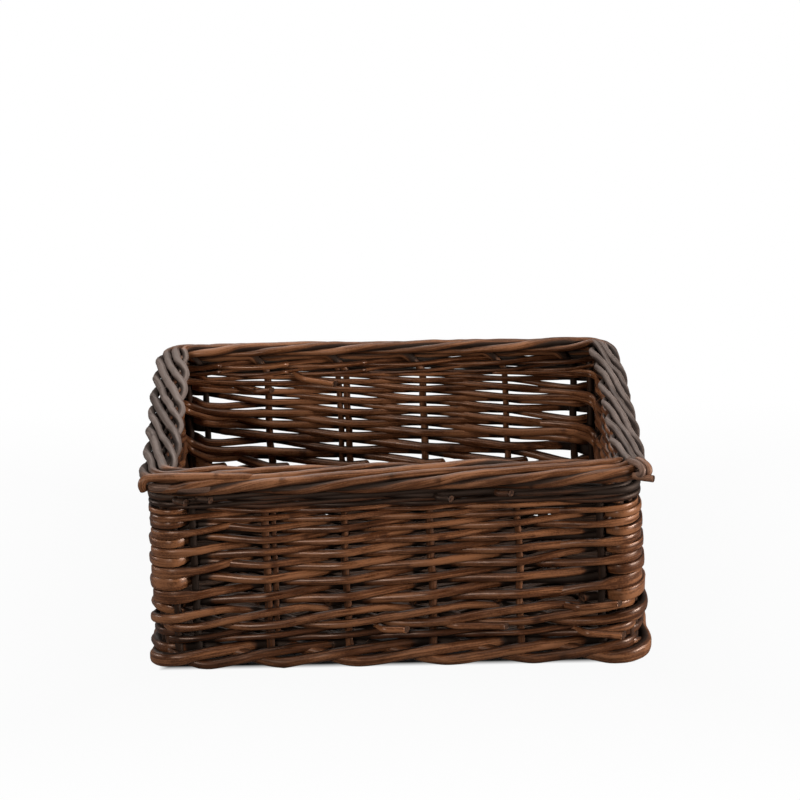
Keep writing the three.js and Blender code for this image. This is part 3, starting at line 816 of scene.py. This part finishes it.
def woven_height(x, row):
    """How far a row is above or below the sticks' middle, over one stick and under the next."""
    wave = np.zeros_like(x)
    for i, stick in enumerate(STICK_PLACES):
        side = 1 if (i + row) % 2 == 0 else -1
        wave += side * np.exp(-((x - stick) / RISE_WIDTH) ** 2)
    return wave * BASE_RISE


def base_rod(rod):
    """One of the rods of the rows, from the front row to the back one. They turn back at each side."""
    across = (rod - (RODS_IN_ROW - 1) / 2) * BASE_ROD_PITCH
    bend_middle = WEAVE_HALF_WIDTH - ROW_PITCH
    runs = []
    for row in range(BASE_ROWS):
        way = 1 if row % 2 == 0 else -1
        y = -WEAVE_HALF_DEPTH + (row + 0.5) * ROW_PITCH
        x = np.linspace(-bend_middle, bend_middle, 130) * way
        runs.append(np.stack([x, np.full_like(x, y + way * across), woven_height(x, row)], axis=1))
        if row < BASE_ROWS - 1:
            turn = np.linspace(0, math.pi, 9)[1:-1]
            reach = ROW_PITCH / 2 - way * across
            runs.append(np.stack([way * (bend_middle + reach * np.sin(turn)),
                                  y + ROW_PITCH / 2 - reach * np.cos(turn), np.zeros_like(turn)], axis=1))
    return base_part(np.concatenate(runs), BASE_ROD_RADIUS, sides=8, tone=0.45, crook=0.15)


for i, x in enumerate(STICK_PLACES):
    y = np.linspace(-1, 1, 160) * (HALF_DEPTH - STICK_INSET)
    path = np.stack([x + ripple(y, 0.3) * 0.4 * MM, y, np.zeros_like(y)], axis=1)
    add_piece(f"bottom_stick_{i + 1}", [base_part(path, STICK_RADIUS, tone=0.4)],
              base_willow, "base_willow", f"base_stick_{i + 1}")
add_piece("bottom_weave", [base_rod(rod) for rod in range(RODS_IN_ROW)],
          base_willow, "base_willow", "base_weave")


# Floor, light and camera

FLOOR_SIZE = 6
FLOOR_GREY = 0.15
# How white the camera sees the floor, by metres from its middle
FLOOR_WHITE = ((0.153, 0.0), (0.159, 0.95), (0.45, 1.0))

WORLD_LIGHT = 0.03
MIRRORED_WHITE = 0.2  # how much of the white behind the basket its polish mirrors
WHITE_FROM, WHITE_FULL = -0.1, 0.5  # from the front to the back

# Name, place, aim, width, height and power
SOFT_BOXES = (
    ("overhead", (-0.05, 0.0, 1.25), (0, 0, 0.1), 1.3, 0.9, 10.5),
    ("front_left", (-0.9, -1.35, 0.65), (0, 0, 0.08), 0.4, 0.6, 11.2),
    ("left", (-1.5, 0.2, 0.3), (0, 0, 0.08), 0.3, 0.6, 4),
    ("right", (1.4, -0.5, 0.4), (0, 0, 0.08), 0.4, 0.6, 26),
    ("behind", (-0.3, 1.2, 1.15), (0, 0.15, 0.06), 0.8, 0.6, 7),
)

CAMERA_YAW, CAMERA_DOWN, CAMERA_ROLL = (math.radians(a) for a in (0.804, 16.555, -0.738))
CAMERA_DISTANCE = 2.8173
CAMERA_LENS = 181.42
CAMERA_AIM = np.array([0.0063, 0, 0.1387])


def white_floor():
    """A white floor. It is in real shade under the basket, and shows only a trace of shadow round it."""
    material, nodes, links, shader = new_material("white_floor")
    shader.inputs["Base Color"].default_value = (FLOOR_GREY, FLOOR_GREY, FLOOR_GREY, 1)
    shader.inputs["Roughness"].default_value = 0.9
    shader.inputs["Specular IOR Level"].default_value = 0.1
    white = nodes.new("ShaderNodeEmission")
    on_floor = nodes.new("ShaderNodeTexCoord")
    split = nodes.new("ShaderNodeSeparateXYZ")
    links.new(on_floor.outputs["Object"], split.inputs[0])
    sideways = add_value(nodes, links, "ABSOLUTE", split.outputs["X"])
    depthways = add_value(nodes, links, "ABSOLUTE", split.outputs["Y"])
    from_middle = add_value(nodes, links, "MAXIMUM", sideways, depthways)
    places, shares = zip(*FLOOR_WHITE)
    fade = colour_ramp(nodes, links, from_middle, places, [(share, share, share, 1) for share in shares])
    seen = nodes.new("ShaderNodeLightPath")
    share = add_value(nodes, links, "MULTIPLY", fade, seen.outputs["Is Camera Ray"])
    mix = nodes.new("ShaderNodeMixShader")
    links.new(share, mix.inputs["Fac"])
    links.new(shader.outputs["BSDF"], mix.inputs[1])
    links.new(white.outputs["Emission"], mix.inputs[2])
    links.new(mix.outputs["Shader"], nodes["Material Output"].inputs["Surface"])
    return material


def add_floor():
    shape = bmesh.new()
    bmesh.ops.create_grid(shape, x_segments=2, y_segments=2, size=FLOOR_SIZE)
    mesh = bpy.data.meshes.new("floor")
    shape.to_mesh(mesh)
    shape.free()
    mesh.materials.append(white_floor())
    floor = bpy.data.objects.new("floor", mesh)
    bpy.context.scene.collection.objects.link(floor)


def white_world():
    """White behind and above the basket and dim in front, as its polish mirrors it, and weak as a light."""
    world = bpy.data.worlds.new("studio")
    bpy.context.scene.world = world
    world.use_nodes = True
    nodes, links = world.node_tree.nodes, world.node_tree.links
    light = nodes["Background"]
    light.inputs["Color"].default_value = (1, 1, 1, 1)
    light.inputs["Strength"].default_value = WORLD_LIGHT
    seen_white = nodes.new("ShaderNodeBackground")
    path = nodes.new("ShaderNodeLightPath")
    towards = nodes.new("ShaderNodeTexCoord")
    split = nodes.new("ShaderNodeSeparateXYZ")
    links.new(towards.outputs["Generated"], split.inputs[0])
    behind = nodes.new("ShaderNodeMapRange")
    behind.inputs["From Min"].default_value = WHITE_FROM
    behind.inputs["From Max"].default_value = WHITE_FULL
    behind.inputs["To Max"].default_value = MIRRORED_WHITE
    links.new(split.outputs["Y"], behind.inputs["Value"])
    mirrored = add_value(nodes, links, "MULTIPLY", path.outputs["Is Glossy Ray"], behind.outputs["Result"])
    share = add_value(nodes, links, "MAXIMUM", path.outputs["Is Camera Ray"], mirrored)
    mix = nodes.new("ShaderNodeMixShader")
    links.new(share, mix.inputs["Fac"])
    links.new(light.outputs["Background"], mix.inputs[1])
    links.new(seen_white.outputs["Background"], mix.inputs[2])
    links.new(mix.outputs["Shader"], nodes["World Output"].inputs["Surface"])


def set_up(name, data, right, up, back, at):
    """Stands a lamp or camera at a place, where it looks away from its back."""
    stood = bpy.data.objects.new(name, data)
    stood.matrix_world = Matrix.Translation(at) @ Matrix(np.stack([right, up, back], axis=1)).to_4x4()
    bpy.context.scene.collection.objects.link(stood)
    return stood


def add_soft_box(name, at, aim, width, height, power):
    lamp = bpy.data.lights.new(name, "AREA")
    lamp.shape = "RECTANGLE"
    lamp.size, lamp.size_y, lamp.energy = width, height, power
    back = np.array(at) - np.array(aim)
    back /= np.linalg.norm(back)
    right = np.cross([0, 1, 0], back)
    right /= np.linalg.norm(right)
    set_up(name, lamp, right, np.cross(back, right), back, at)


def add_camera():
    """The camera at the photo's angle, through a long lens."""
    level_ahead = np.array([math.sin(CAMERA_YAW), math.cos(CAMERA_YAW), 0])
    ahead = level_ahead * math.cos(CAMERA_DOWN) - np.array([0, 0, math.sin(CAMERA_DOWN)])
    level = np.array([math.cos(CAMERA_YAW), -math.sin(CAMERA_YAW), 0])
    over = np.cross(level, ahead)
    right = math.cos(CAMERA_ROLL) * level + math.sin(CAMERA_ROLL) * over
    up = math.cos(CAMERA_ROLL) * over - math.sin(CAMERA_ROLL) * level
    data = bpy.data.cameras.new("camera")
    data.lens, data.sensor_width = CAMERA_LENS, 36
    at = CAMERA_AIM - ahead * CAMERA_DISTANCE
    bpy.context.scene.camera = set_up("camera", data, right, up, -ahead, at)


add_floor()
white_world()
for soft_box in SOFT_BOXES:
    add_soft_box(*soft_box)
add_camera()
bpy.context.scene.view_settings.view_transform = "Standard"
